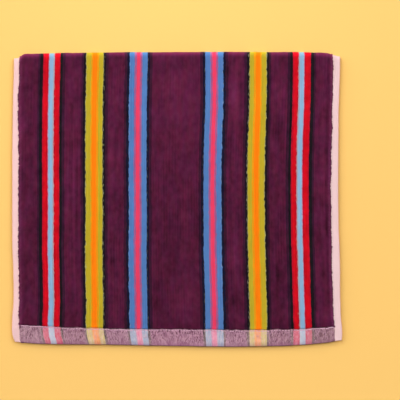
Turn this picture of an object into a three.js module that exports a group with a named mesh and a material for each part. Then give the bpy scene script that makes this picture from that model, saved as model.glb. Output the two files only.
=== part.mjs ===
import * as THREE from 'three';

// Folded hand towel, one cloth folded once across its middle with its face side out.
// Millimetres. X runs across the cloth, Y from the open ends (-Y) to the fold (+Y), Z is up.
// The lower layer's face lies on Z = 0.

// Driving sizes
const CLOTH_WIDTH = 500;
const FOLDED_LENGTH = 450;
const FOLD_Y = 226.5;
const LAYER_GAP = 0.8;

// Pile cloth: face pile, ground weave and back loops together
const PILE_THICKNESS = 4.4;
const FACE_PILE = 1.6;

// Flat woven selvedges, with no pile
const LEFT_SELVEDGE = 9.8;
const RIGHT_SELVEDGE = 11.4;
const SELVEDGE_THICKNESS = 1.6;
const SELVEDGE_DROOP = 1.9;

// Turned and sewn end hems, with no pile
const HEM_THICKNESS = 2.4;
const HEM_DROOP = 2.5;
const HEM_DROOP_SHARE = 0.9;
const LOWER_END_BACK = 3;

// How far the pile's edge takes to drop to the flat weave
const PILE_STEP = 1.8;

// The fold's loop, fuller than the stack beside it
const FOLD_SWELL = 2.6;
const FOLD_SWELL_REACH = 62;
const FOLD_DEPTH = 7;
const FOLD_STEPS = 10;
const SELVEDGE_FOLD_DROP = 2.2;
const SELVEDGE_FOLD_EASE = 0.3;

// Where the cloth's sides and middle run, as a shift in X at each distance from the fold
const SIDE_WANDER = [
  { along: 0, left: -0.3, middle: -0.8, right: 0.6 },
  { along: 35, left: -0.6, middle: -0.8, right: 0.0 },
  { along: 60, left: -1.7, middle: -1.3, right: -0.9 },
  { along: 90, left: -2.2, middle: -1.8, right: -2.0 },
  { along: 120, left: -2.6, middle: -2.2, right: -2.0 },
  { along: 150, left: -2.9, middle: -2.3, right: -2.2 },
  { along: 210, left: -3.1, middle: -2.8, right: -2.5 },
  { along: 270, left: -3.1, middle: -2.3, right: -1.9 },
  { along: 303, left: -2.8, middle: -2.1, right: -0.4 },
  { along: 334, left: -1.4, middle: -1.6, right: 0.4 },
  { along: 365, left: -0.9, middle: -1.2, right: 0.3 },
  { along: 390, left: -1.4, middle: -0.9, right: 1.0 },
  { along: 408, left: -3.2, middle: -0.7, right: 1.5 },
  { along: 424, left: -3.4, middle: -0.5, right: 3.4 },
  { along: 434, left: -3.0, middle: -0.4, right: 3.5 },
  { along: 441, left: -0.6, middle: -0.3, right: 3.2 },
  { along: 448, left: 2.6, middle: -0.2, right: 2.0 },
];

// How far the fold stands back and the hem's two edges reach, at each place across the cloth
const END_OUTLINE = [
  { across: -250, foldBack: 9.4, hemLine: 416.7, hemEnd: 445.2 },
  { across: -241, foldBack: 7.9, hemLine: 417.0, hemEnd: 445.6 },
  { across: -237, foldBack: 3.4, hemLine: 417.3, hemEnd: 446.1 },
  { across: -232, foldBack: 2.0, hemLine: 417.9, hemEnd: 446.9 },
  { across: -222, foldBack: 1.9, hemLine: 419.1, hemEnd: 448.0 },
  { across: -210, foldBack: 1.8, hemLine: 419.7, hemEnd: 448.4 },
  { across: -178, foldBack: 0.6, hemLine: 421.3, hemEnd: 449.1 },
  { across: -100, foldBack: 0.0, hemLine: 423.5, hemEnd: 449.7 },
  { across: -40, foldBack: -0.4, hemLine: 424.4, hemEnd: 451.0 },
  { across: 0, foldBack: -0.6, hemLine: 424.7, hemEnd: 451.7 },
  { across: 85, foldBack: -0.5, hemLine: 425.5, hemEnd: 452.9 },
  { across: 165, foldBack: -0.5, hemLine: 425.2, hemEnd: 451.5 },
  { across: 202, foldBack: 0.1, hemLine: 423.4, hemEnd: 449.2 },
  { across: 224, foldBack: 0.6, hemLine: 421.4, hemEnd: 446.9 },
  { across: 233, foldBack: 1.1, hemLine: 420.9, hemEnd: 445.9 },
  { across: 238, foldBack: 3.4, hemLine: 420.7, hemEnd: 443.8 },
  { across: 250, foldBack: 6.7, hemLine: 420.7, hemEnd: 442.6 },
];

// Soft rises and troughs of the upper layer: middle, reach, turn from the X axis and height.
// One has fallen to a fifth of its height at its reach.
const SOFT_FOLD_FALL = 1.6;
const SOFT_FOLDS = [
  { across: 16, along: 268, reachX: 13, reachY: 108, turn: 3, rise: 0.9 },
  { across: 38, along: 262, reachX: 12, reachY: 92, turn: 2, rise: -0.4 },
  { across: -20, along: 116, reachX: 74, reachY: 62, turn: 12, rise: 0.8 },
  { across: -166, along: 170, reachX: 30, reachY: 170, turn: 0, rise: 0.7 },
  { across: 88, along: 110, reachX: 22, reachY: 110, turn: -2, rise: 0.9 },
  { across: 92, along: 330, reachX: 24, reachY: 80, turn: 3, rise: 0.7 },
  { across: 52, along: 376, reachX: 64, reachY: 34, turn: 8, rise: 0.9 },
  { across: -190, along: 352, reachX: 26, reachY: 84, turn: 0, rise: -0.3 },
  { across: 214, along: 132, reachX: 30, reachY: 120, turn: 0, rise: 0.6 },
];

// Places of the mesh's lines, closer where the cloth's form changes.
// HEM_SHARES are shares of the hem's depth, FOLD_ROWS distances from the fold.
const SELVEDGE_MIDDLE = 0.55;
const EVEN_COLUMNS = 22;
const EDGE_INSETS = [5, 16, 30];
const EVEN_ROWS = 15;
const LOWER_EVEN_ROWS = 5;
const HEM_SHARES = [0.25, 0.6, 0.88, 1];
const FOLD_ROWS = [FOLD_DEPTH, 12, 19, 30, 44];

// How far from its line the hem's form is felt, in the pile before it and in the flat weave after it
const HEM_LEAD = 9;

const degrees = THREE.MathUtils.degToRad;
const lerp = THREE.MathUtils.lerp;
const smooth = THREE.MathUtils.smoothstep;

// A named column of a table read at a place, eased between its rows
function tableValue(table, key, place, column) {
  const last = table.length - 1;
  if (place <= table[0][key]) return table[0][column];
  if (place >= table[last][key]) return table[last][column];
  const next = table.findIndex((row) => row[key] > place);
  const from = table[next - 1];
  const to = table[next];
  return lerp(from[column], to[column], (place - from[key]) / (to[key] - from[key]));
}

// X of the cloth's own line `across`, at a distance from the fold
function placeAcross(across, along) {
  const side = across < 0 ? 'left' : 'right';
  const share = Math.abs(across) / (CLOTH_WIDTH / 2);
  const middle = tableValue(SIDE_WANDER, 'along', along, 'middle');
  return across + lerp(middle, tableValue(SIDE_WANDER, 'along', along, side), share);
}

const foldBack = (across) => tableValue(END_OUTLINE, 'across', across, 'foldBack');
const hemLine = (across) => tableValue(END_OUTLINE, 'across', across, 'hemLine');
const hemEnd = (across) => tableValue(END_OUTLINE, 'across', across, 'hemEnd');

// How far a place lies into the flat selvedge, 0 in the pile and 1 at the outer edge
function selvedgeShare(across) {
  const width = across < 0 ? LEFT_SELVEDGE : RIGHT_SELVEDGE;
  return Math.max(0, (Math.abs(across) - (CLOTH_WIDTH / 2 - width)) / width);
}

// How much of the pile stands at a place, 1 in the pile and 0 on the flat weave
function pileShare(across, along) {
  const width = across < 0 ? LEFT_SELVEDGE : RIGHT_SELVEDGE;
  const toSelvedge = CLOTH_WIDTH / 2 - width - Math.abs(across);
  const toHem = hemLine(across) - along;
  const side = smooth(toSelvedge, -PILE_STEP / 2, PILE_STEP / 2);
  return side * smooth(toHem, -PILE_STEP / 2, PILE_STEP / 2);
}

function thickness(across, along) {
  const inHem = smooth(along - hemLine(across), 0, PILE_STEP);
  const bare = lerp(SELVEDGE_THICKNESS, HEM_THICKNESS, inHem);
  return lerp(bare, PILE_THICKNESS, pileShare(across, along));
}

// Height of the soft folds at a place of the upper layer
function softFolds(across, along) {
  let rise = 0;
  for (const fold of SOFT_FOLDS) {
    const turn = degrees(fold.turn);
    const x = across - fold.across;
    const y = along - fold.along;
    const a = (x * Math.cos(turn) + y * Math.sin(turn)) / fold.reachX;
    const b = (y * Math.cos(turn) - x * Math.sin(turn)) / fold.reachY;
    rise += fold.rise * Math.exp(-SOFT_FOLD_FALL * (a * a + b * b));
  }
  return rise;
}

// Height of the lower layer's face: on Z = 0 under the pile, its thin borders sinking to it
function lowerFace(across, along) {
  const bare = 1 - pileShare(across, along);
  const hemShare = smooth(along - hemLine(across), 0, HEM_LEAD);
  const landed = Math.max(hemShare, Math.min(1, selvedgeShare(across)));
  return bare * FACE_PILE * (1 - landed);
}

// Height of the upper layer's face, with the fold's swell, the drooping borders and the soft folds
function upperFace(across, along) {
  const flat = 2 * PILE_THICKNESS + LAYER_GAP;
  const bare = 1 - pileShare(across, along);
  const nearFold = 1 - smooth(along, FOLD_DEPTH, FOLD_SWELL_REACH);
  const intoHem = Math.max(0, along - hemLine(across)) / (hemEnd(across) - hemLine(across));
  const side = selvedgeShare(across);
  const droop = Math.max(SELVEDGE_DROOP * side * side, HEM_DROOP * smooth(intoHem, 0, HEM_DROOP_SHARE));
  const swell = nearFold * (FOLD_SWELL - SELVEDGE_FOLD_DROP * smooth(side, 0, SELVEDGE_FOLD_EASE));
  return flat + swell - bare * FACE_PILE - droop + softFolds(across, along);
}

// A row of the section: the face point and the back point of every column.
// The lower layer is drawn back towards the fold by up to LOWER_END_BACK at its hem.
function layerRow(columns, alongOf, upper) {
  return columns.map((across) => {
    const along = alongOf(across);
    const drawnBack = upper ? 0 : LOWER_END_BACK * (along / FOLDED_LENGTH);
    const x = placeAcross(across, along);
    const y = FOLD_Y - along + drawnBack;
    const face = upper ? upperFace(across, along) : lowerFace(across, along);
    const inward = upper ? -thickness(across, along) : thickness(across, along);
    return { face: [x, y, face], back: [x, y, face + inward] };
  });
}

function foldRow(columns, angle) {
  return columns.map((across) => {
    const start = foldBack(across) + FOLD_DEPTH;
    const low = lowerFace(across, start);
    const high = upperFace(across, start);
    const middle = (low + high) / 2;
    const radius = (high - low) / 2;
    const wall = thickness(across, start);
    const x = placeAcross(across, start);
    const y = FOLD_Y - start;
    const out = Math.cos(angle);
    const up = Math.sin(angle);
    return {
      face: [x, y + FOLD_DEPTH * out, middle + radius * up],
      back: [x, y + (FOLD_DEPTH - wall) * out, middle + (radius - wall) * up],
    };
  });
}

// Distances from the fold of a layer's rows, each as a function of the place across
function layerPlaces(evenRows) {
  const places = FOLD_ROWS.map((row) => (across) => foldBack(across) + row);
  const from = FOLD_ROWS[FOLD_ROWS.length - 1];
  for (let i = 1; i <= evenRows; i += 1) {
    places.push((across) => lerp(foldBack(across) + from, hemLine(across) - HEM_LEAD, i / evenRows));
  }
  places.push((across) => hemLine(across) - PILE_STEP / 2);
  places.push((across) => hemLine(across) + PILE_STEP / 2);
  for (const share of HEM_SHARES) {
    places.push((across) => lerp(hemLine(across) + PILE_STEP / 2, hemEnd(across), share));
  }
  return places;
}

// Lines across the cloth: both selvedges, the pile's edges and even lines between them
function columnPlaces() {
  const half = CLOTH_WIDTH / 2;
  const leftPile = -half + LEFT_SELVEDGE;
  const rightPile = half - RIGHT_SELVEDGE;
  const leftMiddle = leftPile - LEFT_SELVEDGE * SELVEDGE_MIDDLE;
  const rightMiddle = rightPile + RIGHT_SELVEDGE * SELVEDGE_MIDDLE;
  const left = [-half, leftMiddle, leftPile - PILE_STEP / 2, leftPile + PILE_STEP / 2];
  const right = [rightPile - PILE_STEP / 2, rightPile + PILE_STEP / 2, rightMiddle, half];
  for (const inset of EDGE_INSETS) {
    left.push(leftPile + inset);
    right.unshift(rightPile - inset);
  }
  const even = [];
  for (let i = 1; i < EVEN_COLUMNS; i += 1) {
    even.push(lerp(left[left.length - 1], right[0], i / EVEN_COLUMNS));
  }
  return [...left, ...even, ...right];
}

// One closed skin over the section's rows: face, back, both sides and both ends
function closedSheet(rows) {
  const across = rows[0].length;
  const positions = [];
  for (const side of ['face', 'back']) {
    for (const row of rows) {
      for (const point of row) positions.push(...point[side]);
    }
  }
  const face = (row, column) => row * across + column;
  const back = (row, column) => (rows.length + row) * across + column;
  const triangles = [];
  const quad = (a, b, c, d) => triangles.push(a, b, c, a, c, d);
  for (let row = 0; row + 1 < rows.length; row += 1) {
    for (let column = 0; column + 1 < across; column += 1) {
      quad(face(row, column), face(row + 1, column), face(row + 1, column + 1), face(row, column + 1));
      quad(back(row, column), back(row, column + 1), back(row + 1, column + 1), back(row + 1, column));
    }
    const last = across - 1;
    quad(face(row, 0), back(row, 0), back(row + 1, 0), face(row + 1, 0));
    quad(face(row, last), face(row + 1, last), back(row + 1, last), back(row, last));
  }
  for (let column = 0; column + 1 < across; column += 1) {
    const end = rows.length - 1;
    quad(face(0, column), face(0, column + 1), back(0, column + 1), back(0, column));
    quad(face(end, column), back(end, column), back(end, column + 1), face(end, column + 1));
  }
  const geometry = new THREE.BufferGeometry();
  geometry.setAttribute('position', new THREE.Float32BufferAttribute(positions, 3));
  geometry.setIndex(triangles);
  geometry.computeVertexNormals();
  return geometry;
}

function towelGeometry() {
  const columns = columnPlaces();
  const rows = [];
  for (const alongOf of layerPlaces(LOWER_EVEN_ROWS).reverse()) {
    rows.push(layerRow(columns, alongOf, false));
  }
  for (let step = 1; step < FOLD_STEPS; step += 1) {
    rows.push(foldRow(columns, lerp(-Math.PI / 2, Math.PI / 2, step / FOLD_STEPS)));
  }
  for (const alongOf of layerPlaces(EVEN_ROWS)) {
    rows.push(layerRow(columns, alongOf, true));
  }
  return closedSheet(rows);
}

// Purple is the cloth's ruling colour, under its stripes
const striped = new THREE.MeshStandardMaterial({ color: 0x541e3a, roughness: 0.95, metalness: 0 });

const towel = new THREE.Mesh(towelGeometry(), striped);
towel.name = 'towel';

const model = new THREE.Group();
model.add(towel);

export default model;
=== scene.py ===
import math
from collections import defaultdict
from functools import partial

import bpy
import numpy as np
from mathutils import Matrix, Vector


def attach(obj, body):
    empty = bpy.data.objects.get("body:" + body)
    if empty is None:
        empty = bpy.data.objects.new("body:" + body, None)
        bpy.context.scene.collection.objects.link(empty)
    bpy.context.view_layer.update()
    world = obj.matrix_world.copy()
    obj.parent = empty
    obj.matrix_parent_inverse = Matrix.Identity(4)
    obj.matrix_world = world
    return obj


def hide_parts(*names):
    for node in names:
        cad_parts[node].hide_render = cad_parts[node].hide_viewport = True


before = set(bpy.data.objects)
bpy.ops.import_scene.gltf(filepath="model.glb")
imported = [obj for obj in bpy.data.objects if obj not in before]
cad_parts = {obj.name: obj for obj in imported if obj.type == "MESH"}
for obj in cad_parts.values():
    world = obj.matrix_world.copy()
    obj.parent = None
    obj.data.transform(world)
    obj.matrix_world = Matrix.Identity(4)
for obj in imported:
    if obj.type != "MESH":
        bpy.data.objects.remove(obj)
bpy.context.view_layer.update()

# Folded hand towel: striped velour, folded once across its middle and lying flat.
# The shape is worked out in millimetres and made in metres. `across` runs from selvedge to selvedge,
# 0 in the middle. `s` runs along the cloth from the fold, positive in the upper layer and negative in
# the lower one. X is across, Y points from the open hems to the fold, Z is up.
MM = 0.001


def table(names, *rows):
    """A short table as a dictionary of its named columns."""
    return dict(zip(names.split(), np.array(rows, float).T))


def listed(names, *rows):
    """A short table as a list of its rows, each by the names of its columns."""
    return [dict(zip(names.split(), row)) for row in rows]


# Driving sizes of the cloth, in millimetres
CLOTH_WIDTH = 500
FOLDED_LENGTH = 450
HALF_WIDTH = CLOTH_WIDTH / 2
FOLD_Y = 226.5
LAYER_GAP = 0.8
PILE_THICKNESS = 4.4
FACE_PILE = 1.6
LEFT_SELVEDGE = 9.8
RIGHT_SELVEDGE = 11.4
LEFT_PILE = -HALF_WIDTH + LEFT_SELVEDGE
RIGHT_PILE = HALF_WIDTH - RIGHT_SELVEDGE
SELVEDGE_THICKNESS = 1.6
SELVEDGE_DROOP = 1.9
HEM_THICKNESS = 2.4
HEM_DROOP = 2.5
HEM_DROOP_SHARE = 0.9
HEM_LEAD = 9
LOWER_END_BACK = 3
WEAVE_STEP = 1.8

# The fold's loop
FOLD_SWELL = 2.6
FOLD_SWELL_REACH = 62
FOLD_DEPTH = 7
FOLD_SPAN = 10.4
SELVEDGE_FOLD_DROP = 2.2
SELVEDGE_FOLD_EASE = 0.3

# How round the pile is at its edges, and how far it drifts from a straight line there
PILE_ROUND = 2.0
EDGE_DRIFT = 0.9
NOTCH_GRAIN = 2.9
DRIFT_REACH = 8
HEM_LINE_DRIFT = listed(
    "seed grain_x grain_y height",
    (11, 9, 9, 0.6),
    (12, 3.1, 3.1, 0.4),
)
SIDE_LINE_DRIFT = listed(
    "seed grain_x grain_y height",
    (13, 9, 13, 0.45),
    (14, 9, NOTCH_GRAIN, 0.65),
)
SIDES_APART = 40.0

# Where the sides and the middle run, as a shift in X at each distance from the fold
SIDE_WANDER = table(
    "along left middle right",
    (0, -0.3, -0.8, 0.6),
    (35, -0.6, -0.8, 0.0),
    (60, -1.7, -1.3, -0.9),
    (90, -2.2, -1.8, -2.0),
    (120, -2.6, -2.2, -2.0),
    (150, -2.9, -2.3, -2.2),
    (210, -3.1, -2.8, -2.5),
    (270, -3.1, -2.3, -1.9),
    (303, -2.8, -2.1, -0.4),
    (334, -1.4, -1.6, 0.4),
    (365, -0.9, -1.2, 0.3),
    (390, -1.4, -0.9, 1.0),
    (408, -3.2, -0.7, 1.5),
    (424, -3.4, -0.5, 3.4),
    (434, -3.0, -0.4, 3.5),
    (441, -0.6, -0.3, 3.2),
    (448, 2.6, -0.2, 2.0),
)
WANDER_EASE = 5

# How far the fold stands back and how far the hem's two edges reach, at each place across
END_OUTLINE = table(
    "across foldBack hemLine hemEnd",
    (-250, 9.4, 416.7, 445.2),
    (-241, 7.9, 417.0, 445.6),
    (-237, 3.4, 417.3, 446.1),
    (-232, 2.0, 417.9, 446.9),
    (-222, 1.9, 419.1, 448.0),
    (-210, 1.8, 419.7, 448.4),
    (-178, 0.6, 421.3, 449.1),
    (-100, 0.0, 423.5, 449.7),
    (-40, -0.4, 424.4, 451.0),
    (0, -0.6, 424.7, 451.7),
    (85, -0.5, 425.5, 452.9),
    (165, -0.5, 425.2, 451.5),
    (202, 0.1, 423.4, 449.2),
    (224, 0.6, 421.4, 446.9),
    (233, 1.1, 420.9, 445.9),
    (238, 3.4, 420.7, 443.8),
    (250, 6.7, 420.7, 442.6),
)
OUTLINE_EASE = 3

# Soft rises and troughs of the upper layer: middle, reach, turn from the X axis, height
SOFT_FOLD_FALL = 1.6
SOFT_FOLDS = listed(
    "across along reach_x reach_y turn rise",
    (16, 268, 13, 108, 3, 0.9),
    (38, 262, 12, 92, 2, -0.4),
    (-20, 116, 74, 62, 12, 0.8),
    (-166, 170, 30, 170, 0, 0.7),
    (88, 110, 22, 110, -2, 0.9),
    (92, 330, 24, 80, 3, 0.7),
    (52, 376, 64, 34, 8, 0.9),
    (-190, 352, 26, 84, 0, -0.3),
    (214, 132, 30, 120, 0, 0.6),
)

# How far the pile reaches out over its even line at each selvedge, along the cloth
PILE_REACH = table(
    "along left right",
    (0, 0.3, 0.0),
    (35, 0.4, 0.4),
    (58, 1.2, 1.2),
    (90, 1.2, 1.0),
    (119, -0.4, 1.0),
    (150, -0.4, -0.3),
    (180, -1.0, 0.0),
    (210, -0.2, -0.9),
    (242, -0.4, 0.0),
    (272, -0.4, -0.4),
    (303, 0.3, -0.7),
    (334, 0.8, -1.6),
    (365, 0.4, -0.2),
    (388, 0.6, -0.3),
    (407, -1.2, 0.0),
    (423, -2.0, 0.3),
    (433, -0.4, 0.3),
    (441, 1.6, 0.8),
)

# How far aside the stripes lie along the cloth, and how much closer together than even
STRIPE_LAY = table(
    "along left right",
    (6, 0.7, -1.0),
    (35, 0.2, -0.7),
    (60, 0.2, 0.0),
    (85, 0.3, 0.4),
    (105, 0.5, -0.1),
    (130, 0.6, -1.0),
    (165, 0.6, -1.6),
    (210, 1.0, -1.6),
    (245, 1.2, -1.6),
    (280, 0.6, -1.8),
    (303, 0.2, -2.1),
    (335, -0.2, -1.8),
    (360, -0.1, -1.3),
    (385, 0.4, -0.9),
    (410, 0.7, -1.1),
    (424, 0.8, -1.6),
)
STRIPE_LAY_EASE = 8
STRIPE_LAY_MIDDLE = 45

# The outermost red stripe is narrower on the left: by how much, and between which places
LEFT_NARROW = 1.5
LEFT_NARROW_FROM = 197
LEFT_NARROW_TO = 205

# How far aside the stripes lie in the hem where it starts and at its end, at each place across
HEM_LEAN = table(
    "across start end",
    (-250, 0.0, -0.3),
    (-215, 0.4, 0.2),
    (-191, 1.1, 0.6),
    (-125, 0.8, 1.9),
    (-58, -0.1, 1.2),
    (58, -0.1, 1.5),
    (125, -1.2, 0.0),
    (191, -0.3, 1.3),
    (250, 0.0, 0.4),
)
HEM_LEAN_EASE = 1.5
HEM_LEAN_GROWTH = 1.3

# Where the nap lies lighter or darker, with painted light and shade on the soft rises and the crease: middle,
# reach and change of tone
NAP_AND_PAINTED_LIGHT_PATCHES = table(
    "across along reach_x reach_y tone",
    (0, 22, 44, 11, -0.16),
    (2, 65, 42, 74, 0.26),
    (-2, 48, 24, 22, 0.12),
    (-8, 288, 26, 92, -0.20),
    (-29, 380, 17, 38, -0.22),
    (15, 384, 22, 32, 0.22),
    (5, 268, 5, 62, -0.10),
    (13, 262, 5, 56, 0.14),
    (33, 272, 7, 70, -0.22),
    (90, 65, 9, 48, 0.60),
    (87, 321, 9, 24, 0.35),
    (90, 211, 15, 50, -0.12),
    (90, 382, 16, 38, -0.18),
    (158, 68, 17, 18, 0.30),
    (155, 119, 16, 30, -0.18),
    (155, 357, 18, 86, -0.28),
    (222, 58, 18, 55, 0.15),
    (222, 188, 15, 26, 0.25),
    (216, 285, 11, 22, -0.22),
    (-238, 116, 8, 36, 0.35),
    (-219, 272, 13, 112, -0.08),
    (-221, 104, 9, 70, -0.08),
    (155, 230, 16, 60, -0.12),
    (226, 408, 20, 14, 0.3),
    (-161, 196, 15, 180, 0.12),
    (-161, 42, 17, 22, 0.12),
    (-98, 150, 5, 75, 0.30),
    (-103.5, 300, 3, 60, 0.25),
    (-155.2, 235, 2.2, 190, 0.34),
    (-159.6, 235, 2.4, 190, -0.12),
    (-151.6, 235, 2.4, 190, -0.14),
    (-165, 200, 2.2, 60, 0.12),
    (91.5, 230, 5.5, 170, 0.22),
    (84.5, 230, 3.2, 170, -0.16),
    (151, 250, 2.6, 160, 0.14),
    (232.2, 200, 2.8, 240, -0.33),
    (227.2, 200, 2.6, 200, 0.15),
    (-90, 226, 15, 20, -0.14),
    (-94, 58, 9, 30, 0.22),
)
# Painted highlight along the fold's rim: its strength, how far it reaches over the top and how far under
FOLD_PAINTED_HIGHLIGHT = 2.0
FOLD_PAINTED_HIGHLIGHT_REACH = 13
FOLD_PAINTED_HIGHLIGHT_UNDER = 4
# Painted shade on the pile just before the hem line: its change of tone, its place before the line and its
# reach
HEM_PAINTED_SHADE = -0.18
HEM_PAINTED_SHADE_PLACE = 4
HEM_PAINTED_SHADE_REACH = 3.5
# Painted light along the pile's edges at the selvedges, against the shade on the pile's flank: its change of
# tone and reach
EDGE_PAINTED_LIGHT = 0.6
EDGE_PAINTED_LIGHT_REACH = 3.2

# Uneven lie of the cloth: grain across and along, and height
PILE_UNEVEN = listed(
    "seed grain_x grain_y height",
    (21, 13, 24, 0.26),
    (22, 6, 9, 0.1),
    (23, 5, 80, 0.13),
    (24, 40, 60, 0.3),
)
HEM_UNEVEN = listed(
    "seed grain_x grain_y height",
    (31, 7, 6, 0.24),
    (32, 22, 14, 0.3),
)
SELVEDGE_UNEVEN = listed(
    "seed grain_x grain_y height",
    (41, 60, 24, 0.35),
    (42, 9, 8, 0.12),
)

# Places of the mesh's lines beside an edge of the pile, as distances inside it
PILE_LINES = (-2.4, -1.1, -0.4, -0.05, 0.05, 0.3, 0.8, 1.4, 2.2, 3.4)
BODY_COLUMNS = 250
SELVEDGE_COLUMNS = 6
BODY_ROWS = 195
HEM_ROWS = 20
LOWER_ROWS = 16
LOWER_HEM_ROWS = 6
FOLD_STEPS = 22
EDGE_STEPS = 5
BACK_COLUMNS = 60
BACK_ROWS = 60


def lerp(low, high, share):
    return low + (high - low) * share


def smooth(value, low, high):
    """0 below low and 1 above high, eased between."""
    share = np.clip((value - low) / (high - low), 0, 1)
    return share * share * (3 - 2 * share)


def near(distance, reach):
    """1 at no distance, falling off to either side in a bell over a reach."""
    return np.exp(-((distance / reach) ** 2))


EASE_STEPS = 7
KNOTS = 256


def read(rows, name, place, ease):
    """A named column of a table at a place in its first column, its corners eased over a distance."""
    places = next(iter(rows.values()))
    steps = np.linspace(-ease, ease, EASE_STEPS)
    return np.mean([np.interp(place + step, places, rows[name]) for step in steps], axis=0)


def both_sides(rows, along, ease):
    """The left and the right column of a table at a distance from the fold."""
    return read(rows, "left", along, ease), read(rows, "right", along, ease)


def uneven(seed, x, y, grain_x, grain_y):
    """Smooth unevenness between -1 and 1, of the given grain."""
    knots = np.random.default_rng(seed).uniform(-1, 1, (KNOTS, KNOTS))
    x, y = np.broadcast_arrays(np.asarray(x, float) / grain_x, np.asarray(y, float) / grain_y)
    column, row = np.floor(x).astype(int), np.floor(y).astype(int)
    right, down = smooth(x - column, 0, 1), smooth(y - row, 0, 1)
    here = lerp(knots[column % KNOTS, row % KNOTS], knots[(column + 1) % KNOTS, row % KNOTS], right)
    next_row = (row + 1) % KNOTS
    there = lerp(knots[column % KNOTS, next_row], knots[(column + 1) % KNOTS, next_row], right)
    return lerp(here, there, down)


def layers_of(table_rows, x, y):
    """Several grains of unevenness added up."""
    return sum(
        row["height"] * uneven(row["seed"], x, y, row["grain_x"], row["grain_y"]) for row in table_rows
    )


# The cloth's outline and borders


def place_across(across, along):
    """X of the cloth's own line `across`, at a distance from the fold."""
    middle = read(SIDE_WANDER, "middle", along, WANDER_EASE)
    side = np.where(across < 0, *both_sides(SIDE_WANDER, along, WANDER_EASE))
    return across + lerp(middle, side, np.abs(across) / HALF_WIDTH)


def fold_start(across):
    """Distance from the fold's line at which the loop of the fold begins."""
    return read(END_OUTLINE, "foldBack", across, OUTLINE_EASE) + FOLD_DEPTH


def hem_line(across):
    even_line = read(END_OUTLINE, "hemLine", across, OUTLINE_EASE)
    return even_line + EDGE_DRIFT * layers_of(HEM_LINE_DRIFT, across, 0)


def hem_end(across):
    return read(END_OUTLINE, "hemEnd", across, OUTLINE_EASE)


def selvedge_width(across):
    return np.where(across < 0, LEFT_SELVEDGE, RIGHT_SELVEDGE)


def side_drift(across, s):
    """How far the pile reaches out past its even line along a selvedge."""
    reach = np.where(across < 0, *both_sides(PILE_REACH, np.abs(s), WANDER_EASE))
    return reach + EDGE_DRIFT * layers_of(SIDE_LINE_DRIFT, np.where(across < 0, 0.0, SIDES_APART), s)


def in_from_selvedge(across, s):
    """Distance inside the pile's edge along the nearer selvedge."""
    return HALF_WIDTH - selvedge_width(across) + side_drift(across, s) - np.abs(across)


def along_of(across, s):
    """Distance from the fold's line of a place on the cloth."""
    return fold_start(across) + np.maximum(np.abs(s) - FOLD_SPAN, 0)


def s_of(across, along):
    """The reverse of along_of, for the upper layer."""
    return FOLD_SPAN + along - fold_start(across)


def pile_round(inside):
    """Share of the pile's height at a distance inside its edge, a quarter round."""
    share = np.clip(inside / PILE_ROUND, 0, 1)
    return np.sqrt(1 - (1 - share) ** 2)


def pile_share(across, s):
    before_hem = hem_line(across) - along_of(across, s)
    return pile_round(in_from_selvedge(across, s)) * pile_round(before_hem)


# The section of the two layers and the fold


def nap_and_painted_light(across, s):
    """How much lighter or darker the upper layer's nap lies at a place, with the painted shade and painted
    highlights added in.
    """
    along = along_of(across, s)
    # Painted shade just before the hem line
    tone = HEM_PAINTED_SHADE * near(hem_line(across) - along - HEM_PAINTED_SHADE_PLACE, HEM_PAINTED_SHADE_REACH)
    # Painted light along the pile's edges at the selvedges
    tone = tone + EDGE_PAINTED_LIGHT * near(in_from_selvedge(across, s), EDGE_PAINTED_LIGHT_REACH)
    # Nap tone, with painted light and shade on the soft rises and the crease
    for x, y, reach_x, reach_y, change in zip(*NAP_AND_PAINTED_LIGHT_PATCHES.values()):
        away = ((across - x) / reach_x) ** 2 + ((along - y) / reach_y) ** 2
        tone = tone + change * np.exp(-SOFT_FOLD_FALL * away)
    # Painted highlight along the fold's rim, fading just under it
    tone = tone + FOLD_PAINTED_HIGHLIGHT * (1 - smooth(s, 0, FOLD_PAINTED_HIGHLIGHT_REACH)) * smooth(s, -FOLD_PAINTED_HIGHLIGHT_UNDER, 0)
    return np.where(s > -FOLD_SPAN, tone, 0)


def thickness(across, s, pile):
    in_hem = smooth(along_of(across, s) - hem_line(across), 0, WEAVE_STEP)
    return lerp(lerp(SELVEDGE_THICKNESS, HEM_THICKNESS, in_hem), PILE_THICKNESS, pile)


def soft_folds(across, along):
    rise = 0
    for fold in SOFT_FOLDS:
        cosine, sine = math.cos(math.radians(fold["turn"])), math.sin(math.radians(fold["turn"]))
        x = across - fold["across"]
        y = along - fold["along"]
        a = (x * cosine + y * sine) / fold["reach_x"]
        b = (y * cosine - x * sine) / fold["reach_y"]
        rise = rise + fold["rise"] * np.exp(-SOFT_FOLD_FALL * (a * a + b * b))
    return rise


def selvedge_share(across):
    """0 in the pile, 1 at the selvedge's outer edge."""
    width = selvedge_width(across)
    return np.clip((np.abs(across) - HALF_WIDTH + width) / width, 0, 1)


def lower_face(across, along, pile):
    hem_share = smooth(along - hem_line(across), 0, HEM_LEAD)
    return (1 - pile) * FACE_PILE * (1 - np.maximum(hem_share, selvedge_share(across)))


def upper_face(across, along, pile):
    flat = 2 * PILE_THICKNESS + LAYER_GAP
    near_fold = 1 - smooth(along, FOLD_DEPTH, FOLD_SWELL_REACH)
    line, end = hem_line(across), hem_end(across)
    into_hem = np.maximum(0, along - line) / (end - line)
    side = selvedge_share(across)
    droop = np.maximum(SELVEDGE_DROOP * side**2, HEM_DROOP * smooth(into_hem, 0, HEM_DROOP_SHARE))
    swell = near_fold * (FOLD_SWELL - SELVEDGE_FOLD_DROP * smooth(side, 0, SELVEDGE_FOLD_EASE))
    return flat + swell - (1 - pile) * FACE_PILE - droop + soft_folds(across, along)


# The sewn hem: where its stitches run, and how they draw the cloth in
STITCH_LINE = 2.6
STITCH_DRAW = 0.45
STITCH_DRAW_REACH = 1.3
PILE_DRAW = 0.5
PILE_DRAW_PLACE = 7
PILE_DRAW_REACH = 4


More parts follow.
